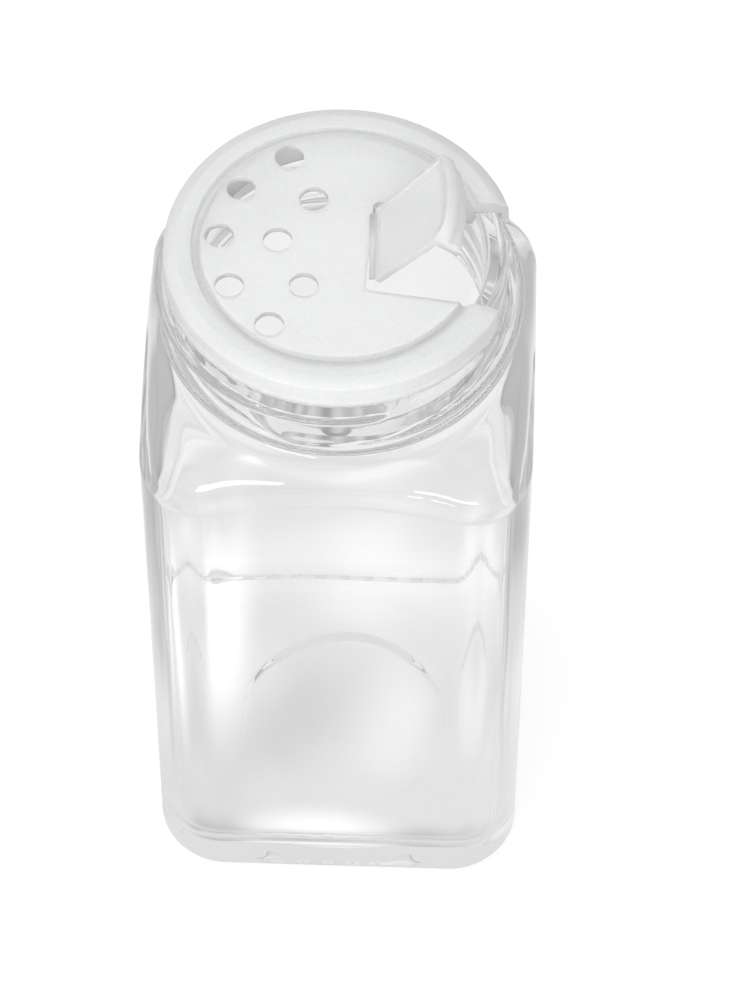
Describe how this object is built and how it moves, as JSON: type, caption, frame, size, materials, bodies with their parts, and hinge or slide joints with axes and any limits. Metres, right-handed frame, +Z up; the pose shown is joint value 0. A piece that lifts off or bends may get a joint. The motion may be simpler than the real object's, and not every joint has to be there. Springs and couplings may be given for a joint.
{
  "type": "spice jar",
  "caption": "Square clear glass spice jar with a threaded neck and a translucent push-on shaker insert that has sift holes and a hinged pour flap.",
  "frame": {"origin": "centre of the square base on the surface the jar stands on", "axes": "+Z up along the jar's axis, -Y to the front of the jar, +X towards the pour opening"},
  "size_m": [0.045, 0.045, 0.1125],
  "materials": {
    "clear_glass": "clear flint glass, fire-polished and smooth",
    "natural_plastic": "natural uncoloured polypropylene, translucent, satin"
  },
  "bodies": {
    "jar": {"glass_jar": "clear_glass"},
    "insert": {"shaker_insert": "natural_plastic", "living_hinge": "natural_plastic"},
    "flap": {"pour_flap": "natural_plastic"}
  },
  "joints": [
    {"name": "insert_lift", "type": "slide", "parent": "jar", "child": "insert", "axis": [0, 0, 1], "range_m": [0, 0.03]},
    {"name": "flap_hinge", "type": "hinge", "parent": "insert", "child": "flap", "pos_m": [0.00374, -0.0002, 0.10215], "axis": [0.0262, -0.9997, 0], "range_deg": [-51, 79], "deforming": ["living_hinge"]}
  ]
}
